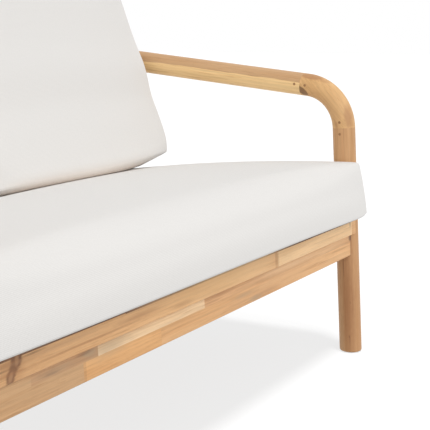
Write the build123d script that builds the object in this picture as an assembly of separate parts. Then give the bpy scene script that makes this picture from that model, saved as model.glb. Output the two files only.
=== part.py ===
from build123d import *

import os
from math import cos, radians, sin, sqrt, tan

# Two-seat outdoor lounge seat. Two round-stock side frames carry a slatted deck and a
# raked slatted back, with one long seat cushion and two loose back cushions.
# X runs along the seat, Y to the back and Z up. Everything is drawn square to the deck,
# with the front leg's axis as Z, and is then tilted back to stand on its four feet.

# Stance, in degrees and millimetres
leg_spacing = 1300.0
seat_tilt = 3.3
arm_rise = 9.0
rear_lean = 3.3
back_angle = 18.0
corner_height = 595.0
arm_overreach = 152.0

# Round stock of the side frames, and its joints
stock = 50.0
elbow_radius = 98.0
elbow_stub = 11.0
foot_ease = 4.0
joint_dowel = 22.0
joint_dowel_length = 56.0
cross_pin = 6.0
cross_pin_offset = 13.0
glue_gap = 0.1
housing = 4.0

# Front rails
apron_bottom = 228.0
apron_height = 47.0
apron_thick = 36.0
top_rail_height = 41.0
top_rail_lip = 6.0
rail_ease = 2.0

# Side rails, rear rail, bearer and cleats
side_rail_thick = 36.0
side_rail_height = 60.0
side_rail_drop = 8.0
bearer_width = 44.0
bearer_height = 45.0
cleat_width = 22.0
cleat_height = 24.0
cleat_gap = 2.0

# Deck slats
deck_depth = 553.0
slat_count = 7
slat_width = 58.0
slat_thick = 18.0
slat_ease = 3.0
slat_end_gap = 2.0
front_slat_gap = 12.0
rear_slat_gap = 9.0

# Back frame
post_width = 36.0
post_depth = 30.0
post_rise = 500.0
post_tail = 66.0
post_round = 9.0
back_rail_height = 55.0
back_rail_lift = 14.0
back_slat_count = 9
back_slat_width = 46.0
back_slat_thick = 14.0
back_slat_tenon = 12.0

# Hidden dowels of the rails and the back frame
rail_dowel = 12.0
rail_dowel_length = 32.0
rail_dowel_spacing = 30.0
rail_dowel_bite = 13.0

# Bolts with barrel nuts
bolt = 8.0
bolt_head = 16.0
bolt_head_height = 3.0
bolt_socket = 5.0
bolt_socket_depth = 2.0
bolt_clearance = 0.5
bolt_end = 3.0
counterbore = 5.0
barrel_nut = 12.0
barrel_nut_length = 24.0
rail_nut_reach = 34.0
post_bolt_depth = 36.0
post_bolt_step = 26.0
top_rail_bolt_drop = 20.0
rear_bolt_spread = 28.0

# Slat screws
screw = 4.0
screw_head = 8.0
screw_length = 34.0
screw_tip = 5.0
screw_gap = 0.1

# Foot glides
glide = 32.0
glide_thick = 2.0
glide_stem = 5.0
glide_stem_length = 14.0

# Seat cushion
side_play = 2.0
seat_overhang = 39.0
seat_back_play = 2.0
seat_front_thick = 115.0
seat_rear_thick = 104.0
seat_crown = 14.0
seat_sag = 3.0
cushion_seat_gap = 0.4

# Back cushions
back_thick = 150.0
back_height = 440.0
back_lift = 103.0
back_end_play = 10.0
back_split = 3.0
back_crown = 18.0
back_under_crown = 8.0
back_head_crown = 7.0
back_rear_gap = 0.5

# Soft edges of all cushions
cushion_corner = 16.0
cushion_end = 12.0
cushion_sections = 5
cushion_draw = 5.0
cushion_bulge = 5.0

# Derived sizes that several pieces share
half_span = leg_spacing / 2
arm_reach = deck_depth + arm_overreach
stock_radius = stock / 2
flat_offset = stock_radius - housing
apron_top = apron_bottom + apron_height
deck = apron_top + top_rail_height
rail_back = apron_thick / 2
rail_face = rail_back + top_rail_lip
slat_bed = deck - slat_thick
side_rail_top = deck - side_rail_drop
side_rail_bottom = side_rail_top - side_rail_height
side_inner = half_span - side_rail_thick / 2
post_inner = side_inner - post_width
rear_lean_in = rear_lean + seat_tilt
overrun = stock
up = Vector(0, 0, 1)
across = Vector(1, 0, 0)


def slope(degrees):
    """A unit vector that leans back from upright by this angle."""
    return Vector(0, sin(radians(degrees)), cos(radians(degrees)))


arm_way = slope(90 - arm_rise)
rear_up = slope(-rear_lean_in)
back_up = slope(back_angle)
back_rear = slope(90 + back_angle)
front_corner = up * corner_height
rear_corner = front_corner + arm_way * (arm_reach / arm_way.Y)
rear_at_deck = rear_corner - rear_up * ((rear_corner.Z - deck) / rear_up.Z)
rear_plane = Plane(origin=rear_at_deck, x_dir=across, z_dir=rear_up)
back_plane = Plane(origin=(0, deck_depth, deck), x_dir=across, z_dir=back_up)


# Shapes that the pieces are made from


def round_bar(start, end, diameter):
    """A round bar from one point to another."""
    run = end - start
    blank = Cylinder(diameter / 2, run.length, align=(Align.CENTER, Align.CENTER, Align.MIN))
    return Plane(origin=start, z_dir=run) * blank


def block(x, y, z, plane=Plane.XY):
    """A box between the two values of each pair, in the axes of a plane."""
    size = [pair[1] - pair[0] for pair in (x, y, z)]
    middle = [(pair[0] + pair[1]) / 2 for pair in (x, y, z)]
    return plane * Pos(*middle) * Box(*size)


def eased(piece, axis, radius):
    """The piece with its long edges, those along the axis, rounded."""
    return fillet(piece.edges().filter_by(axis), radius)


def both_sides(piece):
    """The right-hand piece and its mirror image on the left."""
    return piece, mirror(piece, about=Plane.YZ)


def joined(solids):
    """Separate solids that share one node."""
    return Compound(children=[solid for shape in solids for solid in shape.solids()])


def tilted(piece):
    """The piece as it stands, with the deck tilted back about the front foot."""
    return Rot(X=-seat_tilt) * piece


# Side frames


def elbow_points(corner, leg_way, arm_end_way):
    """The bend's end at the leg, its middle, its end at the arm, and the arm joint."""
    half = radians(leg_way.get_angle(arm_end_way)) / 2
    setback = elbow_radius / tan(half)
    inward = (leg_way + arm_end_way).normalized()
    hub = corner + inward * (elbow_radius / sin(half))
    leg_end = corner + leg_way * setback
    arm_end = corner + arm_end_way * setback
    return leg_end, hub - inward * elbow_radius, arm_end, arm_end + arm_end_way * elbow_stub


def elbow(points, leg_way):
    """A bend of round stock with a short straight stub at the arm end."""
    leg_end, middle, arm_end, arm_joint = points
    path = Wire([Edge.make_three_point_arc(leg_end, middle, arm_end), Edge.make_line(arm_end, arm_joint)])
    section = Plane(origin=leg_end, x_dir=across, z_dir=-leg_way) * Circle(stock_radius)
    return sweep(section, path=path)


front_bend = elbow_points(front_corner, -up, arm_way)
rear_bend = elbow_points(rear_corner, -rear_up, -arm_way)
frame_joints = [
    (front_bend[0], up),
    (front_bend[3], arm_way),
    (rear_bend[3], arm_way),
    (rear_bend[0], rear_up),
]


def joint_dowels(gap):
    """The loose dowel inside each joint of a side frame, grown by a gap for its bore."""
    reach = joint_dowel_length / 2 + gap
    return [round_bar(p - way * reach, p + way * reach, joint_dowel + 2 * gap) for p, way in frame_joints]


def cross_pins(gap):
    """Two pins through each joint, one on each side of the joint line, flush outside."""
    reach = across * (sqrt(stock_radius**2 - (cross_pin / 2) ** 2) + gap * overrun)
    centres = [p + way * side * cross_pin_offset for p, way in frame_joints for side in (-1, 1)]
    return [round_bar(centre - reach, centre + reach, cross_pin + 2 * gap) for centre in centres]


def side_frame():
    """The five round pieces of the right-hand side frame, with their joints bored."""
    front_foot = up * -overrun
    rear_foot = rear_corner - rear_up * ((rear_corner.Z + overrun) / rear_up.Z)
    pieces = {
        "front_leg": round_bar(front_foot, front_bend[0], stock),
        "front_elbow": elbow(front_bend, -up),
        "arm": round_bar(front_bend[3], rear_bend[3], stock),
        "rear_elbow": elbow(rear_bend, -rear_up),
        "rear_leg": round_bar(rear_foot, rear_bend[0], stock),
    }
    bores = joint_dowels(glue_gap) + cross_pins(glue_gap)
    placed = {name: Pos(half_span, 0, 0) * (piece - bores) for name, piece in pieces.items()}
    placed["front_leg"] -= [apron_blank(), side_rail_blank()]
    placed["rear_leg"] -= [rear_rail_blank(), side_rail_blank()]
    placed["rear_elbow"] -= back_plane * post_blank()
    for name in ("front_leg", "rear_leg", "rear_elbow"):
        placed[name] -= bolt_bores() + rail_dowels(glue_gap)
    return placed


def frame_dowels():
    """All eight joint dowels, drilled for their pins."""
    drilled = [dowel - cross_pins(glue_gap) for dowel in joint_dowels(0)]
    return joined(both for dowel in drilled for both in both_sides(Pos(half_span, 0, 0) * dowel))


def frame_pins():
    """All sixteen cross pins."""
    return joined(both for pin in cross_pins(0) for both in both_sides(Pos(half_span, 0, 0) * pin))


# Rails under the deck


def apron_blank():
    """The lower front rail's block between the flats on the two legs."""
    reach = half_span - flat_offset
    return block((-reach, reach), (-rail_back, rail_back), (apron_bottom, apron_top))


def apron():
    """The lower front rail, square cut at the legs."""
    return eased(apron_blank(), Axis.X, rail_ease) - bolt_bores() - bearer_dowels(glue_gap)


def front_top_rail():
    """The upper front rail, which stands proud of the apron and is coped over the legs."""
    blank = block((-half_span, half_span), (-rail_face, rail_back), (apron_top, deck))
    leg = round_bar(up * apron_bottom, up * corner_height, stock + 2 * glue_gap)
    copes = both_sides(Pos(half_span, 0, 0) * leg)
    return eased(blank, Axis.X, rail_ease) - list(copes) - bolt_bores() - bearer_dowels(glue_gap)


def behind_rear_flat(offset):
    """All that lies behind a plane in front of the rear legs' axis by an offset."""
    reach = leg_spacing
    return block((-reach, reach), (-offset, reach), (-reach, reach), rear_plane)


def side_rail_blank():
    """The side rail's block between the flats on the front and rear legs."""
    wide = (side_inner, half_span + side_rail_thick / 2)
    raw = block(wide, (flat_offset, arm_reach + overrun), (side_rail_bottom, side_rail_top))
    return raw - behind_rear_flat(flat_offset)


def side_rail():
    """The right-hand side rail with its bolt and dowel holes."""
    return eased(side_rail_blank(), Axis.Y, rail_ease) - bolt_bores() - rail_dowels(glue_gap)


def rear_rail_blank():
    """The rear rail's block, square to the raked rear legs."""
    reach = half_span - flat_offset
    tall = (side_rail_bottom - deck, side_rail_top - deck)
    return block((-reach, reach), (-rail_back, rail_back), tall, rear_plane)


def rear_rail():
    """The rail that ties the rear legs together."""
    return eased(rear_rail_blank(), Axis.X, rail_ease) - bolt_bores() - bearer_dowels(glue_gap)


def centre_bearer():
    """The beam under the middle of the slats, from the front rails to the rear rail."""
    wide = (-bearer_width / 2, bearer_width / 2)
    raw = block(wide, (rail_back, arm_reach + overrun), (slat_bed - bearer_height, slat_bed))
    beam = eased(raw - behind_rear_flat(rail_back), Axis.Y, rail_ease)
    return beam - bearer_dowels(glue_gap) - slat_screws(screw_gap)


def seated_dowels(seats, gap):
    """A dowel through each joint face, biting into the piece that its direction points to."""
    made = []
    for seat, way in seats:
        start = seat + way * (rail_dowel_bite + gap)
        end = seat - way * (rail_dowel_length - rail_dowel_bite + gap)
        made.append(round_bar(start, end, rail_dowel + 2 * gap))
    return made


def rail_dowels(gap):
    """Two dowels at each end of a side rail, into the flats on the legs."""
    middle = (side_rail_bottom + side_rail_top) / 2
    heights = [middle + side * rail_dowel_spacing / 2 for side in (-1, 1)]
    fronts = [Vector(half_span, flat_offset, height) for height in heights]
    rear_way = rear_plane.y_dir
    along = [(height - deck) / rear_up.Z for height in heights]
    rears = [rear_at_deck + across * half_span + rear_up * a - rear_way * flat_offset for a in along]
    seats = [(p, -slope(90)) for p in fronts] + [(p, rear_way) for p in rears]
    return seated_dowels(seats, gap)


def bearer_dowels(gap):
    """One dowel at each end of the centre bearer."""
    height = slat_bed - bearer_height / 2
    rear_way = rear_plane.y_dir
    front = Vector(0, rail_back, height)
    rear = rear_at_deck + rear_up * ((height - deck) / rear_up.Z) - rear_way * rail_back
    return seated_dowels([(front, -slope(90)), (rear, rear_way)], gap)


# Deck slats


slat_first = rail_back + front_slat_gap
slat_last = deck_depth - rear_slat_gap
slat_pitch = (slat_last - slat_first - slat_width) / (slat_count - 1)
slat_fronts = [slat_first + slat_pitch * i for i in range(slat_count)]


def slat_screws(gap):
    """A countersunk screw at both ends and the middle of each slat."""
    radius = screw / 2 + gap
    head = screw_head / 2 + gap
    tip = screw_length + gap
    outline = [(0, 0), (head, 0), (radius, radius - head), (radius, screw_tip - tip), (0, -tip)]
    shape = revolve(Plane.XZ * make_face(Polyline(*outline, close=True)), Axis.Z)
    out = side_inner - cleat_width / 2
    spots = [Pos(x, front + slat_width / 2, deck) for front in slat_fronts for x in (-out, 0, out)]
    return [spot * shape for spot in spots]


def deck_slat(front):
    """One slat across the deck, with its top edges rounded."""
    reach = side_inner - slat_end_gap
    raw = block((-reach, reach), (front, front + slat_width), (slat_bed, deck))
    top = raw.faces().sort_by(Axis.Z)[-1]
    return fillet(top.edges().filter_by(Axis.X), slat_ease) - slat_screws(screw_gap)


def side_cleat():
    """The strip on a side rail that the slat ends rest on."""
    rear = deck_depth - (slat_thick + cleat_height) * tan(radians(back_angle)) - cleat_gap
    wide = (side_inner - cleat_width, side_inner)
    return block(wide, (slat_first, rear), (slat_bed - cleat_height, slat_bed)) - slat_screws(screw_gap)


# Back frame, drawn in the plane of the back cushions' rests


top_rail_low = post_rise - back_rail_height
low_rail_high = back_rail_lift + back_rail_height


def post_blank():
    """The right-hand post's block, upright."""
    return block((post_inner, side_inner), (0, post_depth), (-post_tail, post_rise))


def back_post():
    """A raked post with a rounded head."""
    blank = eased(post_blank(), Axis.Z, rail_ease)
    head = blank.faces().sort_by(Axis.Z)[-1]
    ends = head.edges().filter_by(Axis.X)
    shaped = back_plane * fillet(ends, post_round)
    return shaped - bolt_bores() - back_dowels(glue_gap)


def back_rail(low):
    """A rail of the back frame, with a mortise for each slat."""
    blank = block((-post_inner, post_inner), (0, post_depth), (low, low + back_rail_height))
    return back_plane * eased(blank, Axis.X, rail_ease) - back_slats(glue_gap) - back_dowels(glue_gap)


def back_slats(gap):
    """The upright slats with their tenons, evenly spread between the posts."""
    pitch = (2 * post_inner + back_slat_width) / (back_slat_count + 1)
    middle = post_depth / 2
    deep = (middle - back_slat_thick / 2 - gap, middle + back_slat_thick / 2 + gap)
    tall = (low_rail_high - back_slat_tenon - gap, top_rail_low + back_slat_tenon + gap)
    half = back_slat_width / 2 + gap
    made = []
    for i in range(back_slat_count):
        x = (i - (back_slat_count - 1) / 2) * pitch
        blank = block((x - half, x + half), deep, tall)
        made.append(back_plane * eased(blank, Axis.Z, slat_ease + gap))
    return made


def back_dowels(gap):
    """Two dowels at each end of each back rail."""
    middles = [low + back_rail_height / 2 for low in (back_rail_lift, top_rail_low)]
    heights = [middle + side * rail_dowel_spacing / 2 for middle in middles for side in (-1, 1)]
    ends = [(height, end) for height in heights for end in (-1, 1)]
    seats = [(Vector(end * post_inner, post_depth / 2, height), across * end) for height, end in ends]
    return [back_plane * dowel for dowel in seated_dowels(seats, gap)]


# Bolts with barrel nuts, all along X and driven in from outside the side frames


def elbow_crossing():
    """Where the middle of a post crosses the middle of the rear elbow's bend."""
    leg_end, middle, arm_end, joint = rear_bend
    inward = (arm_end + leg_end - middle * 2).normalized()
    hub = middle + inward * elbow_radius
    start = back_plane.origin + back_rear * (post_depth / 2)
    toward = start - hub
    along = toward.dot(back_up)
    rise = sqrt(along**2 - toward.dot(toward) + elbow_radius**2) - along
    return start + back_up * rise


def bolt_places():
    """Each right-hand bolt's line, its nut's distance across, and the way out of the nut's bore."""
    leg_nut = half_span - flat_offset - rail_nut_reach
    post_nut = side_inner - post_width / 2
    rear_way = -rear_plane.y_dir
    rear_middle = rear_at_deck - rear_up * (side_rail_drop + side_rail_height / 2)
    post_line = back_plane.origin + back_rear * (post_depth / 2)
    places = [
        (up * (apron_bottom + apron_height / 2), leg_nut, slope(90), stock_radius - counterbore),
        (up * (deck - top_rail_bolt_drop), leg_nut, slope(90), stock_radius - counterbore),
        (elbow_crossing(), post_nut, back_rear, stock_radius - counterbore),
    ]
    for side in (-1, 1):
        spread = rear_up * side * rear_bolt_spread / 2
        places.append((rear_middle + spread, leg_nut, rear_way, stock_radius - counterbore))
        step = back_up * (-post_bolt_depth + side * post_bolt_step / 2)
        places.append((post_line + step, post_nut, back_rear, side_rail_thick / 2 - counterbore))
    return places


def bolt_line(line, out):
    """The point under a bolt's head."""
    return Vector(half_span + out, line.Y, line.Z)


def bolt_bores():
    """The holes for the right-hand and left-hand bolts and their barrel nuts."""
    made = []
    for line, nut_x, way, out in bolt_places():
        seat = bolt_line(line, out)
        nut = Vector(nut_x, line.Y, line.Z)
        end = nut - across * (barrel_nut / 2 + bolt_end + bolt_clearance)
        made.append(round_bar(seat + across * overrun, end, bolt + 2 * bolt_clearance))
        made.append(round_bar(seat + across * overrun, seat, bolt_head + 2 * bolt_clearance))
        blind = nut - way * (barrel_nut_length / 2 + glue_gap)
        made.append(round_bar(blind, nut + way * barrel_nut_length, barrel_nut + 2 * glue_gap))
    return [both for bore in made for both in both_sides(bore)]


def frame_bolt(line, nut_x, out):
    """A flat-headed bolt with a hexagon socket."""
    seat = bolt_line(line, out)
    end = Vector(nut_x, line.Y, line.Z) - across * (barrel_nut / 2 + bolt_end)
    shank = round_bar(seat, end, bolt)
    head = round_bar(seat, seat + across * bolt_head_height, bolt_head)
    face = Plane(origin=seat + across * bolt_head_height, z_dir=-across)
    key = face * extrude(RegularPolygon(bolt_socket / 2, 6, major_radius=False), bolt_socket_depth)
    return shank + head - key


def bolts():
    """Every bolt of the frame."""
    made = [frame_bolt(line, nut_x, out) for line, nut_x, way, out in bolt_places()]
    return joined(both for piece in made for both in both_sides(piece))


def barrel_nuts():
    """The cross nut of every bolt, bored for its shank."""
    made = []
    for line, nut_x, way, out in bolt_places():
        centre = Vector(nut_x, line.Y, line.Z)
        half = way * barrel_nut_length / 2
        body = round_bar(centre - half, centre + half, barrel_nut)
        thread = round_bar(centre - across * barrel_nut, centre + across * barrel_nut, bolt + 2 * glue_gap)
        made.append(body - thread)
    return joined(both for piece in made for both in both_sides(piece))


# Feet, worked on as the seat stands


rear_stand = Vector(*rear_corner).rotate(Axis.X, -seat_tilt)
rear_foot_y = rear_stand.Y + rear_stand.Z * tan(radians(rear_lean))
feet = {"front_leg": 0.0, "rear_leg": rear_foot_y}


def glide_at(y, gap):
    """A round glide with its driven stem, under the foot that stands at this depth."""
    foot = Vector(half_span, y, 0)
    disc = round_bar(foot, foot + up * (glide_thick + gap), glide + 2 * gap)
    stem = round_bar(foot, foot + up * (glide_thick + glide_stem_length + gap), glide_stem + 2 * gap)
    return disc + stem


def footed(leg, y):
    """A standing leg cut level above its glide, with its lower rim rounded."""
    reach = leg_spacing
    cut = leg - block((-reach, reach), (-reach, reach), (-reach, glide_thick))
    rim = cut.faces().sort_by(Axis.Z)[0].edges()
    return fillet(rim, foot_ease) - glide_at(y, glue_gap)


def foot_glides():
    """The four glides."""
    return joined(both for y in feet.values() for both in both_sides(glide_at(y, 0)))


# Cushions, lofted from end to end through sections of lines and arcs


def soft_section(plane, corners, bulges):
    """A closed section through four corners, with each side bowed out by its bulge."""
    centre = sum(corners, Vector(0, 0)) / len(corners)
    sides = []
    for i, bulge in enumerate(bulges):
        start, end = corners[i], corners[(i + 1) % len(corners)]
        middle = (start + end) / 2
        run = (end - start).normalized()
        out = Vector(run.Y, -run.X)
        if out.dot(middle - centre) < 0:
            out = -out
        if bulge:
            sides.append(ThreePointArc(start, middle + out * bulge, end))
        else:
            sides.append(Line(start, end))
    face = make_face(sides)
    return plane * fillet(face.vertices(), cushion_corner)


def cushion(start, end, section):
    """A crowned cushion between two distances along X, with rounded end rims."""
    faces = []
    for i in range(cushion_sections):
        along_share = i / (cushion_sections - 1)
        middle_share = 1 - (2 * along_share - 1) ** 2
        faces.append(section(start + (end - start) * along_share, middle_share))
    body = loft(faces, ruled=True)
    end_faces = body.faces().sort_by(Axis.X)
    rims = end_faces[0].edges() + end_faces[-1].edges()
    return fillet(rims, cushion_end)


def seat_section(x, middle_share):
    """The seat cushion's section, thinner at the back, where the back cushions press on it."""
    draw = cushion_draw * middle_share
    low = deck + cushion_seat_gap
    front = draw - rail_face - seat_overhang
    rear = deck_depth - seat_back_play - draw
    corners = [
        Vector(front, low),
        Vector(rear, low),
        Vector(rear, low + seat_rear_thick),
        Vector(front, low + seat_front_thick),
    ]
    bulges = [0, cushion_bulge, seat_crown - seat_sag * (1 - middle_share), cushion_bulge]
    plane = Plane(origin=(x, 0, 0), x_dir=(0, 1, 0), z_dir=across)
    return soft_section(plane, corners, bulges)


def seat_cushion():
    """The one long seat cushion."""
    reach = half_span - stock_radius - side_play
    return cushion(-reach, reach, seat_section)


def back_section(x, middle_share):
    """A back cushion's section, with its foot bowed down onto the seat cushion."""
    draw = cushion_draw * middle_share
    low = back_lift + draw
    high = back_lift + back_height - draw
    corners = [
        Vector(-back_thick, low),
        Vector(-back_rear_gap, low),
        Vector(-back_rear_gap, high),
        Vector(-back_thick, high),
    ]
    front = back_crown * (1 + middle_share) / 2
    bulges = [back_under_crown, 0, back_head_crown, front]
    origin = back_plane.origin + across * x
    plane = Plane(origin=origin, x_dir=back_rear, z_dir=across)
    return soft_section(plane, corners, bulges)


def back_cushion():
    """The right-hand back cushion."""
    return cushion(back_split / 2, half_span - stock_radius - back_end_play, back_section)


# The whole seat


def all_pieces():
    """Every node by name, standing on its feet."""
    pieces = {}
    pairs = side_frame()
    for name, y in feet.items():
        pairs[name] = footed(tilted(pairs[name]), y)
    for name in ("front_elbow", "arm", "rear_elbow"):
        pairs[name] = tilted(pairs[name])
    pairs["side_rail"] = tilted(side_rail())
    pairs["side_cleat"] = tilted(side_cleat())
    pairs["back_post"] = tilted(back_post())
    pairs["back_cushion"] = tilted(back_cushion())
    for name, piece in pairs.items():
        pieces[name + "_right"], pieces[name + "_left"] = both_sides(piece)
    side_dowels = [both for dowel in rail_dowels(0) for both in both_sides(dowel)]
    singles = {
        "front_apron": apron(),
        "front_top_rail": front_top_rail(),
        "rear_rail": rear_rail(),
        "centre_bearer": centre_bearer(),
        "back_top_rail": back_rail(top_rail_low),
        "back_bottom_rail": back_rail(back_rail_lift),
        "joint_dowels": frame_dowels(),
        "joint_pins": frame_pins(),
        "frame_bolts": bolts(),
        "barrel_nuts": barrel_nuts(),
        "slat_screws": joined(slat_screws(0)),
        "rail_dowels": joined(side_dowels + bearer_dowels(0)),
        "back_dowels": joined(back_dowels(0)),
        "seat_cushion": seat_cushion(),
    }
    for i, front in enumerate(slat_fronts):
        singles[f"seat_slat_{i + 1}"] = deck_slat(front)
    for i, slat in enumerate(back_slats(0)):
        singles[f"back_slat_{i + 1}"] = slat
    for name, piece in singles.items():
        pieces[name] = tilted(piece)
    pieces["foot_glides"] = foot_glides()
    return pieces


def main():
    """Centres the seat over its origin and writes one file per node."""
    os.makedirs("parts", exist_ok=True)
    pieces = all_pieces()
    whole = Compound(children=[solid for piece in pieces.values() for solid in piece.solids()])
    box = whole.bounding_box()
    middle = (box.min.Y + box.max.Y) / 2
    for name, piece in pieces.items():
        solids = (Pos(0, -middle, 0) * piece).solids()
        shape = solids[0] if len(solids) == 1 else Compound(children=solids)
        export_step(shape, f"parts/{name}.step")
    print("size", box.size, "centre moved by", -middle)


main()
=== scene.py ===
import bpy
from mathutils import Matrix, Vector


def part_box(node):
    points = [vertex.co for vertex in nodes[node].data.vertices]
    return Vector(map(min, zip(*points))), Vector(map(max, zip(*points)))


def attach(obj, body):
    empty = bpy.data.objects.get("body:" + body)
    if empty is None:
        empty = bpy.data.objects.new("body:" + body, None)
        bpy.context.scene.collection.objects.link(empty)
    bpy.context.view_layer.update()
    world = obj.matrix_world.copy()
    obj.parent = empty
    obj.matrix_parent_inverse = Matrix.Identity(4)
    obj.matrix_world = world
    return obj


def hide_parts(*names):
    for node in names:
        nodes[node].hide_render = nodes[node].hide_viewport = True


bl_info = {
    "name": "Outdoor Lounge Seat",
    "version": (1, 0, 0),
    "blender": (4, 5, 0),
    "location": "3D View > Sidebar > Lounge Seat",
    "description": "Timber finishes, sewn cushions and a studio floor for the packed lounge seat",
    "category": "Object",
}

from math import cos, pi, radians, sin
from typing import NamedTuple

import bpy
import numpy as np
from bpy.props import FloatProperty, FloatVectorProperty, IntProperty, PointerProperty
from bpy.types import Operator, Panel, PropertyGroup
from mathutils import Matrix, Vector

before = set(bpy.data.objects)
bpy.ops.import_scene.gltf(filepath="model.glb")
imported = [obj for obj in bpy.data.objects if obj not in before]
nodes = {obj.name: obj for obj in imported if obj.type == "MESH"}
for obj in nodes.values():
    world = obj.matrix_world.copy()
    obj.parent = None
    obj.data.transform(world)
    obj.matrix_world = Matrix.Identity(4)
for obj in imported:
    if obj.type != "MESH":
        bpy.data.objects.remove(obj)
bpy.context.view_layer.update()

# The seat stands tilted back on its feet. Bench axes are square to the deck: X from the middle
# of the seat, Y back from the front legs' axes, and Z up along them from the floor.
SEAT_TILT = radians(3.3)
BACK_LEAN = radians(18.0)
REAR_LEAN = radians(3.3)
ARM_RISE = radians(9.0)
GLIDE_RADIUS = 0.016
DECK_DEPTH = 0.553
DECK_HEIGHT = 0.316


class Layer(NamedTuple):
    """Noise of a timber's figure or a weave, by its rates along and across the grain.

    low and high bound the part of the noise that shows, and share is its strength.
    """

    along: float
    across: float
    scale: float = 1.0
    detail: float = 3.0
    roughness: float = 0.5
    low: float = 0.0
    high: float = 1.0
    share: float = 1.0


class Strip(NamedTuple):
    """Boards glued end to end, as (start in local X, colour), above an edge in local Z. On the top rail,
    two strips are painted shade.

    The edge wanders by wobble and fades over blur.
    """

    boards: list
    edge: float = 0.0
    wobble: float = 0.0
    blur: float = 0.0


class Ridge(NamedTuple):
    """A soft ridge across a cushion, as height * exp(-((value - place) / width)^2)."""

    height: float
    place: float
    width: float

    def at(self, value):
        """The ridge's height at these values."""
        return self.height * np.exp(-(((value - self.place) / self.width) ** 2))


# Figure of the acacia
WANDER = Layer(along=1.0, across=5.0, scale=3.0)
STREAK = Layer(along=1.3, across=22.0, scale=1.7, roughness=0.6, low=0.36, high=0.70, share=0.42)
FLAME = Layer(along=2.6, across=60.0, scale=1.3, roughness=0.62, low=0.54, high=0.76, share=0.40)
PALE = Layer(along=1.9, across=34.0, scale=1.1, detail=2.0, low=0.52, high=0.74, share=0.46)
LINES = Layer(along=5.0, across=190.0, scale=1.2, roughness=0.75, low=0.56, high=0.70, share=0.50)
FIBRE = Layer(along=6.0, across=300.0, roughness=0.75, low=0.25, high=0.75)
PORES = Layer(along=45.0, across=1300.0, detail=1.0, low=0.62, high=0.74, share=0.32)
MARK_RIM = Layer(along=60.0, across=240.0, detail=2.0, share=0.6)
STRIP_WAVE = Layer(along=9.0, across=1.0, detail=2.0)

# A board's shift through the figure for its number, the pith's place and how far the rings
# bend, and the timber's tints, shade, height, roughness and relief
BOARD_SHIFT = (7.3, 0.37, 0.53)
PITH_DEPTH = 0.045
RING_BEND_ACROSS = 0.045
RING_BEND_UP = 0.0225
RING_SHARE = 0.22
DEEP_TINT = (0.74, 0.63, 0.50, 1.0)
RUST_TINT = (0.62, 0.48, 0.36, 1.0)
LIGHT_TINT = (1.08, 1.14, 1.22, 1.0)
FIBRE_SHADE = (0.90, 1.10)
FIBRE_HEIGHT = 0.35
FIBRE_ROUGHNESS = 0.16
TIMBER_ROUGHNESS = 0.44
TIMBER_SPECULAR = 0.35
TIMBER_RELIEF_STRENGTH = 0.35

# Boards are laid out to BOARD_REACH on both sides of a piece's centre, and one from END starts
# at its near end. A board's number goes by its place in its strip and by its strip.
END = -1.0
BOARD_REACH = 0.75
BOARD_NUMBER_FIRST = 0.11
BOARD_NUMBER_STEP = 0.37
STRIP_NUMBER_STEP = 0.29
GLUE_LINE_HALF = 0.0005
GLUE_SHARE = 0.25


def sized(name, text, default, unit="LENGTH"):
    """A size or an amount that a user may change."""
    return FloatProperty(name=name, description=text, default=default, unit=unit)


def coloured(name, text, default):
    """A colour that a user may change."""
    return FloatVectorProperty(
        name=name, description=text, default=default, subtype="COLOR", size=3, min=0.0, max=1.0
    )


class TimberProperties(PropertyGroup):
    """Colours and figure of the acacia."""

    cream: coloured("Cream", "Pale sapwood boards", (0.92, 0.655, 0.395))
    straw: coloured("Straw", "Yellowish sapwood boards", (0.86, 0.56, 0.275))
    honey: coloured("Honey", "The usual board colour", (0.80, 0.47, 0.225))
    amber: coloured("Amber", "Warm orange boards", (0.79, 0.44, 0.19))
    tan: coloured("Tan", "Pinkish brown boards", (0.73, 0.42, 0.205))
    hazel: coloured("Hazel", "Yellowish brown boards", (0.64, 0.392, 0.203))
    brown: coloured("Brown", "Brown heartwood boards", (0.61, 0.355, 0.186))
    # Russet, walnut and olive also paint shade: the band along the top rail's top edge, the line and patch
    # at the apron's end by the leg, and the streak on the leg under the apron.
    russet: coloured("Russet", "Reddish heartwood streaks", (0.43, 0.20, 0.085))
    walnut: coloured("Walnut", "Dark heartwood and knots", (0.14, 0.065, 0.035))
    olive: coloured("Olive", "Greyish patches", (0.42, 0.30, 0.185))
    chestnut: coloured("Chestnut", "Reddish brown boards", (0.65, 0.375, 0.182))
    blond: coloured("Blond", "Brightest sapwood boards", (0.98, 0.685, 0.345))
    sand: coloured("Sand", "Even sapwood boards", (0.93, 0.62, 0.335))
    wheat: coloured("Wheat", "Greenish yellow sapwood boards", (0.79, 0.485, 0.218))
    glue: coloured("Glue line", "Lines between boards", (0.34, 0.19, 0.10))
    ring_spacing: sized("Ring spacing", "Distance between growth rings", 0.0062)
    relief: sized("Relief", "Depth of the open grain", 0.0003)


class CushionProperties(PropertyGroup):
    """Sizes and colour of the cushions."""

    fabric: coloured("Fabric", "Woven cover", (0.80, 0.783, 0.76))
    # The crease colour is painted shade: the cover is tinted towards it along the creases where the
    # cushions press, and along the seams.
    crease: coloured("Crease", "Tint of the cover along creases and seams", (1.0, 0.90, 0.82))
    weave: sized("Weave", "Distance between the weave's ribs", 0.0048)
    pressure: sized("Pressure", "Pressure of the filling in the simulation", 1.2, "NONE")
    frames: IntProperty(name="Frames", description="Frames that the simulation runs for", default=16)
    movement: sized("Movement", "Furthest that the filling may push the cover", 0.007)
    panel_step: sized("Panel step", "Distance between rows across a panel", 0.011)
    corner: sized("Corner", "Radius of a cushion's sewn edges", 0.0045)
    front_roll: sized("Front roll", "Radius of the seat cushion's front edge at the middle", 0.05)
    foot_roll: sized("Foot roll", "Radius of a back cushion's lower front edge at the middle", 0.024)
    seam_depth: sized("Seam depth", "Depth of the seam round an end panel", 0.0013)


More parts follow.
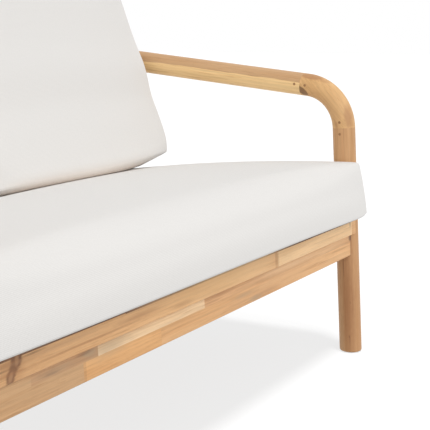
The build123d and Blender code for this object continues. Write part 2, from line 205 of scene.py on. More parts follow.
class StageProperties(PropertyGroup):
    """Camera, light and floor."""

    lens: sized("Lens", "Focal length on a 36 mm sensor, in millimetres", 84.27, "NONE")
    pitch: sized("Pitch", "How far the camera looks down", radians(10.26), "ROTATION")
    heading: sized("Heading", "Turn of the view from +X towards +Y", radians(30.37), "ROTATION")
    camera_place: FloatVectorProperty(
        name="Camera place",
        description="Camera from the right front foot",
        default=(-2.0718, -0.8529, 0.7174),
        subtype="TRANSLATION",
        unit="LENGTH",
        size=3,
    )
    surround: sized("Surround", "Strength of the white surround", 0.75, "NONE")
    key_lamp: sized("Key lamp", "Strength of the lamp at the upper front", 1.22, "NONE")
    floor_lamp: sized("Floor lamp", "Strength of the floor's own lamp", 12.0, "NONE")
    floor: coloured("Floor", "Plain studio floor", (0.07, 0.07, 0.07))
    floor_glow: sized("Floor glow", "Light of the floor's own as the camera sees it", 0.785, "NONE")
    floor_bounce: sized("Floor bounce", "Light that the floor gives back", 0.55, "NONE")
    floor_half: sized("Floor reach", "Half the floor's width", 30.0)


# Bench axes to the frame's axes


def leaning(angle):
    """Unit vector in the frame's axes that leans back from bench upright by this angle."""
    return Vector((0.0, sin(angle + SEAT_TILT), cos(angle + SEAT_TILT)))


def foot_place():
    """Where the right front leg's axis meets the floor, from its glide."""
    low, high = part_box("foot_glides")
    return np.array((high.x - GLIDE_RADIUS, low.y + GLIDE_RADIUS, 0.0))


def from_bench(points):
    """Bench points, an N by 3 array, in the frame's axes.

    They turn back by the seat's tilt round the place where the front legs meet the floor.
    """
    y = points[:, 1] * cos(SEAT_TILT) + points[:, 2] * sin(SEAT_TILT) + foot_place()[1]
    z = points[:, 2] * cos(SEAT_TILT) - points[:, 1] * sin(SEAT_TILT)
    return np.stack((points[:, 0], y, z), axis=1)


# Shader nodes


def put(tree, kind, inputs=None, **settings):
    """Adds a node, sets its settings and feeds its inputs with values or sockets."""
    node = tree.nodes.new(kind)
    for name, value in settings.items():
        setattr(node, name, value)
    for key, value in (inputs or {}).items():
        feed(tree, node.inputs[key], value)
    return node


def feed(tree, socket, value):
    """Gives an input a value or the socket that feeds it."""
    if isinstance(value, bpy.types.NodeSocket):
        tree.links.new(value, socket)
    else:
        socket.default_value = value


def calculated(tree, operation, first, second=0.0):
    """A Math node's result."""
    return put(tree, "ShaderNodeMath", {0: first, 1: second}, operation=operation).outputs[0]


def plus(tree, first, second):
    """The sum of two values."""
    return calculated(tree, "ADD", first, second)


def minus(tree, first, second):
    """The first value less the second."""
    return calculated(tree, "SUBTRACT", first, second)


def times(tree, first, second):
    """The product of two values."""
    return calculated(tree, "MULTIPLY", first, second)


def vector(tree, operation, first, second):
    """A Vector Math node's result."""
    return put(tree, "ShaderNodeVectorMath", {0: first, 1: second}, operation=operation).outputs[0]


def blended(tree, share, first, second, mode="MIX"):
    """One colour mixed into another by a share."""
    node = put(tree, "ShaderNodeMix", data_type="RGBA", blend_type=mode)
    for index, value in ((0, share), (6, first), (7, second)):
        feed(tree, node.inputs[index], value)
    return node.outputs[2]


def tinted(tree, colour, tint):
    """A colour multiplied by another one."""
    return blended(tree, 1.0, colour, tint, "MULTIPLY")


def grey(tree, level):
    """A colour with the same level in red, green and blue."""
    return put(tree, "ShaderNodeCombineXYZ", {i: level for i in range(3)}).outputs[0]


def ranged(tree, value, low, high, to_low=0.0, to_high=1.0, curve="LINEAR"):
    """A value moved from one range to another."""
    inputs = {"Value": value, "From Min": low, "From Max": high, "To Min": to_low, "To Max": to_high}
    return put(tree, "ShaderNodeMapRange", inputs, interpolation_type=curve).outputs[0]


def spread(tree, value, low, high, to_low=0.0, to_high=1.0):
    """A value moved smoothly from one range to another."""
    return ranged(tree, value, low, high, to_low, to_high, "SMOOTHSTEP")


def noise(tree, place, scale, detail=3.0, roughness=0.5):
    """Soft noise from 0 to 1."""
    inputs = {"Vector": place, "Scale": scale, "Detail": detail, "Roughness": roughness}
    return put(tree, "ShaderNodeTexNoise", inputs).outputs["Fac"]


def drawn(tree, place, layer):
    """A layer's noise, drawn out along the grain."""
    rates = (layer.along, layer.across, layer.across)
    stretched = put(tree, "ShaderNodeMapping", {"Vector": place, "Scale": rates}).outputs[0]
    return noise(tree, stretched, layer.scale, layer.detail, layer.roughness)


def shown(tree, place, layer):
    """The part of a layer's noise between its low and its high, from 0 to 1."""
    return spread(tree, drawn(tree, place, layer), layer.low, layer.high)


def cleared(owner):
    """The node tree of a material or a world, emptied."""
    owner.use_nodes = True
    owner.node_tree.nodes.clear()
    return owner.node_tree


def object_place(tree):
    """Places on a piece, in Object coordinates."""
    return put(tree, "ShaderNodeTexCoord").outputs["Object"]


def surfaced(tree, inputs, height, strength, depth):
    """Ends a material in a Principled shader with relief from a height."""
    relief = put(tree, "ShaderNodeBump", {"Strength": strength, "Distance": depth, "Height": height})
    shader = put(tree, "ShaderNodeBsdfPrincipled", {**inputs, "Normal": relief.outputs[0]})
    put(tree, "ShaderNodeOutputMaterial", {"Surface": shader.outputs[0]})


def group_sockets(tree, inputs, outputs):
    """Declares a node group's sockets and returns its input and output nodes."""
    for direction, sockets in (("INPUT", inputs), ("OUTPUT", outputs)):
        for name, kind in sockets.items():
            tree.interface.new_socket(name, in_out=direction, socket_type=f"NodeSocket{kind}")
    return tree.nodes.new("NodeGroupInput"), tree.nodes.new("NodeGroupOutput")


def grain_group():
    """Acacia figure: growth rings, streaks, fibre and open pores along the local X axis."""
    found = bpy.data.node_groups.get("acacia_grain")
    if found:
        return found
    tree = bpy.data.node_groups.new("acacia_grain", "ShaderNodeTree")
    taken = {"Place": "Vector", "Board": "Float", "Colour": "Color"}
    start, end = group_sockets(tree, taken, {"Colour": "Color", "Height": "Float", "Roughness": "Float"})
    shifts = {i: times(tree, start.outputs["Board"], shift) for i, shift in enumerate(BOARD_SHIFT)}
    offset = put(tree, "ShaderNodeCombineXYZ", shifts).outputs[0]
    place = vector(tree, "ADD", start.outputs["Place"], offset)

    # Rings: bands round a pith that lies below the board and wanders along it
    wander = minus(tree, drawn(tree, place, WANDER), 0.5)
    parts = put(tree, "ShaderNodeSeparateXYZ", {0: place})
    across = plus(tree, parts.outputs[1], times(tree, wander, RING_BEND_ACROSS))
    above = plus(tree, parts.outputs[2], PITH_DEPTH)
    above = plus(tree, above, times(tree, wander, RING_BEND_UP))
    squares = [calculated(tree, "POWER", part, 2.0) for part in (across, above)]
    radius = calculated(tree, "SQRT", plus(tree, *squares))
    turns = times(tree, radius, 2 * pi / bpy.context.scene.seat_timber.ring_spacing)
    band = times(tree, plus(tree, calculated(tree, "SINE", turns), 1.0), 0.5)
    late = calculated(tree, "POWER", band, 2.0)

    # Sapwood and heartwood, russet flames, thin dark lines, fibre and pores
    layers = (STREAK, FLAME, PALE, LINES, PORES)
    streak, flame, pale, lines, pores = (shown(tree, place, layer) for layer in layers)
    fibre = drawn(tree, place, FIBRE)
    base = start.outputs["Colour"]
    deep, rust, light = (tinted(tree, base, tint) for tint in (DEEP_TINT, RUST_TINT, LIGHT_TINT))
    ring = times(tree, late, times(tree, streak, RING_SHARE))
    colour = blended(tree, times(tree, streak, STREAK.share), base, deep)
    colour = blended(tree, times(tree, pale, PALE.share), colour, light)
    colour = blended(tree, ring, colour, rust)
    colour = blended(tree, times(tree, flame, FLAME.share), colour, rust)
    colour = blended(tree, times(tree, lines, LINES.share), colour, rust)
    shade = spread(tree, fibre, FIBRE.low, FIBRE.high, *FIBRE_SHADE)
    colour = tinted(tree, colour, grey(tree, shade))
    colour = blended(tree, times(tree, pores, PORES.share), colour, rust)
    height = minus(tree, times(tree, fibre, FIBRE_HEIGHT), pores)
    rough = plus(tree, times(tree, fibre, FIBRE_ROUGHNESS), TIMBER_ROUGHNESS)
    for name, socket in (("Colour", colour), ("Height", height), ("Roughness", rough)):
        tree.links.new(socket, end.inputs[name])
    return tree


def mark_group():
    """A soft-edged oval mark, from 1 inside to 0 outside, with a wandering rim."""
    found = bpy.data.node_groups.get("timber_mark")
    if found:
        return found
    tree = bpy.data.node_groups.new("timber_mark", "ShaderNodeTree")
    taken = {name: "Vector" for name in ("Place", "Centre", "Radii")}
    taken.update(Softness="Float", Slope="Float")
    start, end = group_sockets(tree, taken, {"Share": "Float"})
    place, centre, radii, softness, slope = (start.outputs[name] for name in taken)
    level = {"Vector": place, "Center": centre, "Angle": slope}
    turned = put(tree, "ShaderNodeVectorRotate", level, rotation_type="Y_AXIS").outputs[0]
    unit = vector(tree, "DIVIDE", vector(tree, "SUBTRACT", turned, centre), radii)
    distance = put(tree, "ShaderNodeVectorMath", {0: unit}, operation="LENGTH").outputs["Value"]
    ragged = minus(tree, drawn(tree, place, MARK_RIM), 0.5)
    distance = plus(tree, distance, times(tree, ragged, MARK_RIM.share))
    share = spread(tree, distance, minus(tree, 1.0, softness), plus(tree, 1.0, softness), 1.0, 0.0)
    tree.links.new(share, end.inputs["Share"])
    return tree


def colour_of(name):
    """A timber colour by name, with its alpha."""
    return (*getattr(bpy.context.scene.seat_timber, name), 1.0)


def board_ramp(tree, along, boards):
    """Boards butted end to end along a piece: each one's colour, and a number that is its own."""
    node = put(tree, "ShaderNodeValToRGB", {0: ranged(tree, along, -BOARD_REACH, BOARD_REACH)})
    ramp = node.color_ramp
    ramp.interpolation = "CONSTANT"
    line = GLUE_LINE_HALF / (2 * BOARD_REACH)
    stops = []
    for i, (start, name) in enumerate(boards):
        at = max(0.0, min(1.0, (start + BOARD_REACH) / (2 * BOARD_REACH)))
        shade = (*colour_of(name)[:3], (BOARD_NUMBER_STEP * i + BOARD_NUMBER_FIRST) % 1.0)
        if i:
            pairs = zip(shade[:3], colour_of("glue")[:3])
            glue = tuple((1 - GLUE_SHARE) * a + GLUE_SHARE * b for a, b in pairs)
            stops.append((max(0.0, at - line), (*glue, shade[3])))
        stops.append((at + (line if i else 0.0), shade))
    while len(ramp.elements) > 1:
        ramp.elements.remove(ramp.elements[-1])
    ramp.elements[0].position, ramp.elements[0].color = stops[0]
    for at, shade in stops[1:]:
        ramp.elements.new(min(1.0, at)).color = shade
    return node.outputs["Color"], node.outputs["Alpha"]


def timber(name, grain, face, centre, strips, marks=()):
    """A timber finish.

    Local X runs along the grain from centre, local Z towards face and local Y across both.
    strips go from the lowest up. marks is a list of (centre, radii, softness, strength,
    colour) in local axes, with a slope of X towards Z in degrees where the mark doesn't lie
    along the grain.
    """
    material = bpy.data.materials.new(name)
    tree = cleared(material)
    along = Vector(grain).normalized()
    upward = Vector(face)
    upward = (upward - along * upward.dot(along)).normalized()
    turn = Matrix((along, upward.cross(along), upward)).transposed().to_euler()
    local = {"Vector": object_place(tree), "Location": tuple(centre), "Rotation": tuple(turn)}
    place = put(tree, "ShaderNodeMapping", local, vector_type="TEXTURE").outputs[0]
    parts = put(tree, "ShaderNodeSeparateXYZ", {0: place})
    colour, board = board_ramp(tree, parts.outputs[0], strips[0].boards)
    for i, strip in enumerate(strips[1:]):
        next_colour, next_board = board_ramp(tree, parts.outputs[0], strip.boards)
        wave = minus(tree, drawn(tree, place, STRIP_WAVE), 0.5)
        level = plus(tree, parts.outputs[2], times(tree, wave, strip.wobble))
        above = spread(tree, level, strip.edge - strip.blur, strip.edge + strip.blur)
        colour = blended(tree, above, colour, next_colour)
        shifted = plus(tree, next_board, STRIP_NUMBER_STEP * (i + 1))
        past = calculated(tree, "GREATER_THAN", level, strip.edge)
        board = plus(tree, times(tree, past, minus(tree, shifted, board)), board)
    figured = {"Place": place, "Board": board, "Colour": colour}
    acacia = put(tree, "ShaderNodeGroup", figured, node_tree=grain_group()).outputs
    colour = acacia["Colour"]
    for middle, radii, softness, strength, shade, *slope in marks:
        shape = {"Place": place, "Centre": middle, "Radii": radii, "Softness": softness}
        shape["Slope"] = radians(slope[0]) if slope else 0.0
        mark = put(tree, "ShaderNodeGroup", shape, node_tree=mark_group()).outputs[0]
        colour = blended(tree, times(tree, mark, strength), colour, colour_of(shade))
    inputs = {
        "Base Color": colour,
        "Roughness": acacia["Roughness"],
        "Specular IOR Level": TIMBER_SPECULAR,
    }
    depth = bpy.context.scene.seat_timber.relief
    surfaced(tree, inputs, acacia["Height"], TIMBER_RELIEF_STRENGTH, depth)
    return material


def finish(names, material):
    """Gives CAD nodes a material."""
    for name in names:
        for slot in nodes[name].material_slots:
            slot.material = material


def finish_board(name, grain, face, strips, marks=(), title=None):
    """Gives a wooden CAD node a timber finish of its own, centred on the node's box.

    title names the finish where it isn't named for the node.
    """
    low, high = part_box(name)
    finish([name], timber(title or f"{name}_timber", grain, face, (low + high) / 2, strips, marks))


# Boards of the acacia. A right front leg's local Z points to LEG_FACE.

ALONG = (1.0, 0.0, 0.0)
LEG_FACE = (0.5, -0.86, 0.0)
HONEY_STRIPS = [Strip([(END, "honey")])]
LEG_STRIPS = [
    Strip([(END, "hazel"), (0.06, "chestnut")]),
    Strip([(END, "chestnut")], edge=-0.0155, wobble=0.003, blur=0.0012),
]
ELBOW_STRIPS = [Strip([(END, "wheat")])]
ARM_STRIPS = [Strip([(END, "blond")]), Strip([(END, "hazel")], edge=0.0052, wobble=0.010, blur=0.0004)]
APRON_STRIPS = [
    Strip([(END, "hazel"), (-0.340, "amber"), (-0.142, "honey")]),
    Strip([(END, "hazel"), (-0.452, "brown"), (-0.309, "cream"), (-0.009, "tan")], edge=0.006, blur=0.0003),
]
# The top rail's two upper strips are painted shade: a dark walnut band along the top edge of its front
# face, olive at the right end, under the seat cushion's front edge.
TOP_RAIL_STRIPS_WITH_PAINTED_SHADE = [
    Strip([(END, "honey"), (0.258, "sand"), (0.617, "honey")]),
    Strip([(END, "honey"), (-0.24, "walnut"), (0.607, "olive")], edge=0.0092, wobble=0.0004, blur=0.0003),
    Strip([(END, "walnut"), (0.607, "olive")], edge=0.0107, wobble=0.0004, blur=0.0003),
]
REAR_RAIL_STRIPS = [Strip([(END, "tan"), (-0.2, "honey"), (0.25, "straw")])]
DECK_RAIL_STRIPS = [Strip([(END, "honey"), (0.1, "tan")])]
BACK_RAIL_STRIPS = [Strip([(END, "tan"), (-0.3, "honey"), (0.15, "straw")])]
DECK_SLAT_COLOURS = ("honey", "straw", "tan", "honey", "cream", "tan", "honey")
BACK_SLAT_COLOURS = ("honey", "tan", "straw")

# Marks as (centre, radii, softness, strength, colour, slope), in their piece's local axes
APRON_FACE = -0.018
TOP_RAIL_FACE = -0.022


def on_face(y, marks):
    """Marks on a rail's front face, whose centres are given along and up it."""
    return [((x, y, z), *rest) for (x, z), *rest in marks]


ELBOW_MARKS = [
    ((0.0535, 0.019, -0.0255), (0.0165, 0.014, 0.0078), 0.12, 0.72, "walnut"),
    ((0.0635, 0.012, 0.0100), (0.0270, 0.020, 0.0058), 0.25, 0.70, "russet", -37),
    ((0.0360, 0.012, 0.0255), (0.0120, 0.020, 0.0030), 0.70, 0.45, "russet", -30),
    ((-0.0620, 0.013, 0.0150), (0.0240, 0.018, 0.0065), 0.55, 0.72, "russet", 32),
    ((-0.0560, 0.022, -0.0130), (0.0090, 0.008, 0.0030), 0.80, 0.7, "russet", 20),
    ((0.0000, 0.020, -0.0040), (0.0450, 0.020, 0.0030), 0.90, 0.2, "brown"),
    ((-0.0350, 0.012, 0.0040), (0.0550, 0.030, 0.0300), 0.90, 0.35, "hazel"),
]
LEG_MARKS = [
    ((-0.139, 0.025, -0.001), (0.0035, 0.004, 0.0012), 0.6, 0.75, "walnut"),
    ((-0.218, 0.0245, -0.005), (0.003, 0.004, 0.0015), 0.6, 0.9, "walnut"),
    ((-0.226, 0.0245, -0.004), (0.010, 0.004, 0.0010), 0.9, 0.4, "walnut"),
    # Painted shade: a thin dark streak on the leg just under the apron.
    ((-0.058, 0.021, -0.013), (0.022, 0.008, 0.0014), 0.7, 0.6, "walnut"),
    ((0.170, 0.020, -0.006), (0.08, 0.012, 0.004), 0.9, 0.35, "russet"),
    ((-0.14, 0.022, -0.005), (0.12, 0.016, 0.010), 0.9, 0.78, "russet"),
    ((-0.15, 0.010, 0.015), (0.14, 0.030, 0.020), 0.9, 0.45, "russet"),
    ((-0.14, 0.020, -0.005), (0.12, 0.020, 0.014), 0.9, 0.12, "walnut"),
]
APRON_MARKS = [
    ((-0.415, 0.014), (0.020, 0.01, 0.0040), 0.8, 0.40, "russet"),
    ((-0.408, 0.011), (0.013, 0.01, 0.0018), 0.7, 0.40, "walnut"),
    ((-0.400, 0.013), (0.045, 0.01, 0.006), 0.9, 0.45, "olive"),
    ((-0.325, 0.016), (0.013, 0.01, 0.0045), 0.5, 0.6, "olive"),
    ((-0.335, 0.019), (0.016, 0.01, 0.0025), 0.7, 0.45, "walnut"),
    ((-0.280, 0.013), (0.045, 0.01, 0.012), 0.9, 0.5, "olive"),
    ((0.045, 0.018), (0.050, 0.01, 0.0030), 0.7, 0.5, "russet"),
    ((0.020, 0.011), (0.030, 0.01, 0.0018), 0.7, 0.4, "russet"),
    ((0.175, -0.017), (0.022, 0.01, 0.0042), 0.8, 0.8, "olive"),
    ((0.225, -0.014), (0.040, 0.01, 0.0035), 0.9, 0.5, "russet"),
    ((0.130, -0.002), (0.030, 0.01, 0.0030), 0.9, 0.45, "olive"),
    ((0.300, 0.004), (0.090, 0.01, 0.003), 0.9, 0.3, "russet"),
    ((0.300, 0.015), (0.110, 0.02, 0.006), 0.9, 0.4, "cream"),
    ((0.160, -0.012), (0.100, 0.02, 0.012), 0.9, 0.3, "brown"),
    ((0.320, -0.010), (0.090, 0.02, 0.014), 0.9, 0.35, "tan"),
    ((0.510, 0.016), (0.090, 0.02, 0.008), 0.9, 0.35, "sand"),
    # The last two marks are painted shade: a dark line where the apron's end meets the leg, and a dark
    # patch under the top rail at that end.
    ((0.6272, -0.004), (0.0048, 0.02, 0.0400), 0.3, 0.95, "russet"),
    ((0.6235, 0.0180), (0.0080, 0.02, 0.0075), 0.5, 0.8, "walnut"),
]
TOP_RAIL_MARKS = [
    ((-0.5050, 0.0000), (0.1200, 0.02, 0.0300), 0.90, 0.25, "brown"),
    ((-0.4825, 0.0095), (0.0135, 0.01, 0.0105), 0.30, 1.0, "walnut", 80),
    ((-0.4885, -0.0020), (0.0110, 0.01, 0.0075), 0.40, 0.9, "walnut", 62),
    ((-0.4950, -0.0120), (0.0105, 0.01, 0.0080), 0.35, 0.9, "walnut", 60),
    ((-0.4950, -0.0120), (0.0070, 0.01, 0.0036), 0.60, 0.6, "brown", 60),
    ((-0.4815, 0.0075), (0.0080, 0.01, 0.0035), 0.60, 0.6, "brown", 80),
    ((-0.5200, 0.0130), (0.0300, 0.01, 0.0013), 0.80, 0.6, "walnut"),
    ((-0.5250, -0.0010), (0.0280, 0.01, 0.0013), 0.80, 0.55, "walnut"),
    ((-0.4500, 0.0080), (0.0200, 0.01, 0.0014), 0.80, 0.5, "walnut"),
    ((-0.4890, -0.0020), (0.0170, 0.01, 0.0220), 0.90, 0.45, "russet"),
    ((-0.530, 0.006), (0.045, 0.01, 0.0025), 0.9, 0.6, "russet"),
    ((-0.530, -0.008), (0.040, 0.01, 0.0025), 0.9, 0.5, "russet"),
    ((-0.330, -0.008), (0.120, 0.01, 0.0016), 0.9, 0.6, "russet"),
    ((-0.390, 0.004), (0.080, 0.01, 0.0030), 0.9, 0.45, "brown"),
    ((-0.200, -0.002), (0.050, 0.01, 0.0040), 0.9, 0.5, "russet"),
    ((-0.170, 0.010), (0.060, 0.01, 0.0030), 0.9, 0.45, "brown"),
    ((-0.082, -0.012), (0.028, 0.01, 0.0040), 0.8, 0.6, "russet"),
    ((0.040, -0.014), (0.060, 0.01, 0.0020), 0.9, 0.4, "russet"),
    ((0.060, 0.004), (0.170, 0.03, 0.030), 0.9, 0.55, "straw"),
    ((0.190, 0.004), (0.070, 0.03, 0.030), 0.9, 0.30, "sand"),
    ((0.254, 0.000), (0.006, 0.01, 0.025), 0.6, 0.5, "russet"),
    ((0.612, 0.008), (0.005, 0.01, 0.010), 0.8, 0.7, "olive"),
]


# Cushion meshes

# Rows round a panel's rim, the radius of a rolled edge at its ends, and how far towards the
# full radius a point lies on a seam
RIM_ROWS = 4
END_ROLL = 0.008
SEAM_REACH = 0.999
# SEAM_WARMTH is the share of the crease's painted shade that the seams get.
SEAM_WARMTH = 0.8
TINY = 1e-9

# Filling: how far under the form it starts as a share of its movement, the give below which a
# point is held, and the cloth's quality and stiffness
START_SHARE = 0.9
HELD_GIVE = 0.02
CLOTH_QUALITY = 5
CLOTH_STIFFNESS = 20
CLOTH_BENDING = 2

# The seat cushion, in bench axes
SEAT_BOX = (0.6225, 0.307, 0.06)
SEAT_HALF_WIDTH = 0.6195
SEAT_FLARE = 0.002
SEAT_END_SWELL = 0.0015
SEAT_REAR = 0.551
SEAT_DEPTH = 0.614
SEAT_FRONT_LEAN = 0.016
SEAT_FRONT_SWELL = 0.009
SEAT_FRONT_SWELL_LOSS = 0.007
SEAT_TOP = 0.4400
SEAT_TOP_PLACE = 0.095
SEAT_CAMBER = 0.105
SEAT_CROWN = 0.0085
SEAT_CROWN_REACH = 0.62
SEAT_RIDGE = Ridge(0.003, 0.43, 0.02)
SEAT_CLEARANCE = 0.0006
SEAT_CORNER_LIFT = 0.008
SEAT_EDGE_LIFT = 0.0058
SEAT_EDGE_LOSS_RIGHT = 0.0037
SEAT_EDGE_GAIN_LEFT = 0.0025
SEAT_TOP_SHARE = 0.9

# The seat's filling gives up to this share of the way back, and its top is free of the back
# cushions ahead of this place, where its limit rises with the square of the distance
SEAT_GIVE_END = 0.6
SEAT_GIVE_FADE = 0.5
SEAT_FREE_TOP = 0.452
SEAT_FREE_RISE = 6.0

# A back cushion, by its reach forward and up from the back slats
BACK_BOX = (0.3055, 0.081, 0.225)
BACK_MIDDLE = 0.304
BACK_HALF_WIDTH = 0.2985
BACK_END_SWELL = 0.003
BACK_PLAY = 0.0015
BACK_FOOT = 0.103
BACK_FOOT_RISE = 0.0133
BACK_SAG = 0.028
BACK_SAG_ROUND = 0.25
BACK_INNER_SHARE = 0.45
BACK_HEAD = 0.536
BACK_HEAD_CROWN = 0.007
BACK_THICKNESS = 0.163
BACK_CROWN = 0.005
BACK_RIDGE = Ridge(0.005, 0.32, 0.045)
BACK_FOLD = Ridge(0.0025, 0.24, 0.03)
BACK_CORNER = Ridge(0.012, 0.095, 0.028)
BACK_GIVE_START = -0.95
BACK_GIVE_RATE = 3
# The back cushions' cover is darker than the seat's, though it is the same cloth: painted shade.
BACK_PAINTED_SHADE = 0.943

# Where the cushions press on each other, in bench axes, and how near to there they crease
CREASE_HEIGHT = 0.4257
CREASE_PLACE = 0.466
CREASE_SLOPE = 0.042
CREASE_MIDDLE = 0.31
CREASE_REACH = 0.36
CREASE_GAP_HALF = 0.0003
# How far the painted shade reaches from the crease on the seat's top and on a back cushion.
SEAT_CREASE = Ridge(1.0, 0.46, 0.03)
BACK_CREASE = Ridge(1.0, 0.0, 0.02)


def panel_rows(half, radius, step):
    """Places across a panel: even over its flat part, and closer round its rim."""
    flat = half - radius
    inner = np.linspace(-flat, flat, max(2, round(2 * flat / step)) + 1)
    rim = flat + radius * np.tan(np.linspace(0, pi / 4, RIM_ROWS + 1)[1:])
    return np.concatenate((-rim[::-1], inner, rim))


def boxed_grid(half, radius, step):
    """A closed box of six grids with rounded edges.

    Each grid point p on the box's surface is drawn in to q + radius * (p - q) / |p - q|,
    where q is p held inside the box that is smaller by the radius on every side. Returns
    points, quads, each quad corner's place on its cloth panel, and which points lie on the
    seams round the two end panels.
    """
    points, quads, cloth = [], [], []
    start = 0
    for axis in range(3):
        others = [(axis + 1) % 3, (axis + 2) % 3]
        rows = [panel_rows(half[i], radius, step) for i in others]
        for sign in (-1, 1):
            u, v = np.meshgrid(*rows, indexing="ij")
            grid = np.empty(u.shape + (3,))
            grid[..., others[0]] = u
            grid[..., others[1]] = v
            grid[..., axis] = sign * half[axis]
            index = start + np.arange(u.size).reshape(u.shape)
            corners = (index[:-1, :-1], index[1:, :-1], index[1:, 1:], index[:-1, 1:])
            quad = np.stack(corners, axis=-1).reshape(-1, 4)
            if sign < 0:
                quad = quad[:, ::-1]
            points.append(grid.reshape(-1, 3))
            quads.append(quad)
            cloth.append(np.stack((u.ravel(), v.ravel() * sign), axis=1))
            start += u.size
    points = np.concatenate(points)
    quads = np.concatenate(quads)
    cloth = np.concatenate(cloth)[quads.ravel()]

    # Points that the grids share, to the nearest micrometre, become one
    rounded = np.round(points, 6)
    first, back = np.unique(rounded, axis=0, return_index=True, return_inverse=True)[1:]
    points = points[first]
    inner = np.clip(points, radius - half, half - radius)
    away = points - inner
    turned = np.abs(away) > radius * SEAM_REACH
    seam = turned[:, 0] & turned[:, 1:].any(axis=1)
    points = inner + radius * away / np.linalg.norm(away, axis=1, keepdims=True)
    return points, back.ravel()[quads], cloth, seam


def rolled(points, half, roll, power, edge=1):
    """The box with an edge of its front drawn in to a wider arc.

    The arc's radius is END_ROLL + (roll - END_ROLL) * (1 - |along|^power), with along from
    -1 to 1 between the ends. edge is 1 for the upper edge and -1 for the lower one.
    """
    radii = END_ROLL + (roll - END_ROLL) * (1 - np.abs(points[:, 0] / half[0]) ** power)
    flat = points[:, 1:] * (1, edge)
    centre = np.stack((radii - half[1], half[2] - radii), axis=1)
    away = flat - centre
    outside = (away[:, 0] < 0) & (away[:, 1] > 0)
    share = np.minimum(1.0, radii / np.maximum(np.linalg.norm(away, axis=1), TINY))
    flat = np.where(outside[:, None], centre + away * share[:, None], flat)
    return np.column_stack((points[:, 0], flat * (1, edge)))


def bow(share):
    """1 at the middle and 0 at both ends of a share from -1 to 1."""
    return 1 - share**2


def smoothed(mesh):
    """Shades a mesh smooth."""
    mesh.polygons.foreach_set("use_smooth", np.ones(len(mesh.polygons), bool))


def cloth_mesh(name, points, quads, cloth):
    """A mesh object with its panel places kept as a UV map."""
    mesh = bpy.data.meshes.new(name)
    mesh.from_pydata(points.tolist(), [], quads.tolist())
    layer = mesh.uv_layers.new(name="weave")
    layer.data.foreach_set("uv", cloth.astype(np.float32).ravel())
    smoothed(mesh)
    piece = bpy.data.objects.new(name, mesh)
    bpy.context.scene.collection.objects.link(piece)
    return piece


def read_points(mesh, field):
    """The places, co, or the normals, normal, of a mesh's points as an N by 3 array."""
    values = np.empty(len(mesh.vertices) * 3, np.float32)
    mesh.vertices.foreach_get(field, values)
    return values.reshape(-1, 3).astype(float)


def place_points(piece, points):
    """Puts an N by 3 array back into a mesh."""
    piece.data.vertices.foreach_set("co", points.astype(np.float32).ravel())
    piece.data.update()


def sunk(piece, depth):
    """A mesh's points moved in along their normals, each by its own depth."""
    return read_points(piece.data, "co") - read_points(piece.data, "normal") * depth[:, None]


def inflate(piece, give):
    """Fills the cover: a cloth simulation under pressure, started from a slightly smaller shape.

    A point moves by its own give, and never further than the movement property allows.
    """
    scene = bpy.context.scene
    cushions = scene.seat_cushions
    before = sunk(piece, cushions.movement * START_SHARE * give)
    place_points(piece, before)
    group = piece.vertex_groups.new(name="held")
    group.add(np.flatnonzero(give < HELD_GIVE).tolist(), 1.0, "REPLACE")
    cloth = piece.modifiers.new("filling", "CLOTH")
    settings = cloth.settings
    settings.quality = CLOTH_QUALITY
    settings.use_pressure = True
    settings.uniform_pressure_force = cushions.pressure
    settings.effector_weights.gravity = 0.0
    settings.vertex_group_mass = "held"
    settings.tension_stiffness = CLOTH_STIFFNESS
    settings.compression_stiffness = CLOTH_STIFFNESS
    settings.bending_stiffness = CLOTH_BENDING
    for step in range(1, cushions.frames + 1):
        scene.frame_set(step)
    settled = piece.evaluated_get(bpy.context.evaluated_depsgraph_get())
    after = read_points(settled.data, "co")
    piece.modifiers.remove(cloth)
    scene.frame_set(1)
    piece.vertex_groups.remove(group)
    move = after - before
    length = np.maximum(np.linalg.norm(move, axis=1), TINY)
    share = np.tanh(length / cushions.movement) * cushions.movement / length * give
    return before + move * share[:, None]


def crown(x):
    """How far the filling lifts the seat's top above its end seams."""
    return SEAT_CROWN * bow((x / SEAT_CROWN_REACH) ** 3)


def pressed_height(points):
    """Height at which the seat and back cushions press on each other, in bench axes.

    It falls towards the rear, and dips at the middle of the seat, where two back cushions
    stand side by side.
    """
    x, y = points[:, 0], points[:, 1]
    beside = bow(((np.abs(x) - CREASE_MIDDLE) / CREASE_REACH) ** 2)
    return CREASE_HEIGHT - CREASE_SLOPE * (y - CREASE_PLACE) + crown(x) * beside


def seat_form(points, half):
    """The seat cushion in bench axes.

    The front leans back and swells, the ends swell a little between their seams, and the
    top is a shallow arc from front to back, with a ridge that the back cushions press up in
    front of them. The lower front edge lifts off the deck, more so at the left end. High
    powers of along keep an effect near the ends.
    """
    along, deep = points[:, 0] / half[0], points[:, 1] / half[1]
    rise = (points[:, 2] / half[2] + 1) / 2
    belly = bow(2 * rise - 1)
    front = (1 - deep) / 2
    x = along * (SEAT_HALF_WIDTH + SEAT_FLARE * rise)
    x += np.sign(along) * SEAT_END_SWELL * belly * bow(deep) * along**4
    y = SEAT_REAR - SEAT_DEPTH * front + SEAT_FRONT_LEAN * rise * front
    y -= (SEAT_FRONT_SWELL - SEAT_FRONT_SWELL_LOSS * along**8) * belly * front
    top = SEAT_TOP - SEAT_CAMBER * (y - SEAT_TOP_PLACE) ** 2 + crown(x)
    top += SEAT_RIDGE.at(y) * bow(along) ** 2
    lift = SEAT_EDGE_LIFT - SEAT_EDGE_LOSS_RIGHT * np.maximum(along, 0) ** 3
    lift += SEAT_EDGE_GAIN_LEFT * np.maximum(-along, 0) ** 3
    low = DECK_HEIGHT + SEAT_CLEARANCE + SEAT_CORNER_LIFT * along**50 + lift * front**12
    return np.stack((x, y, low + rise * (top - low)), axis=1)


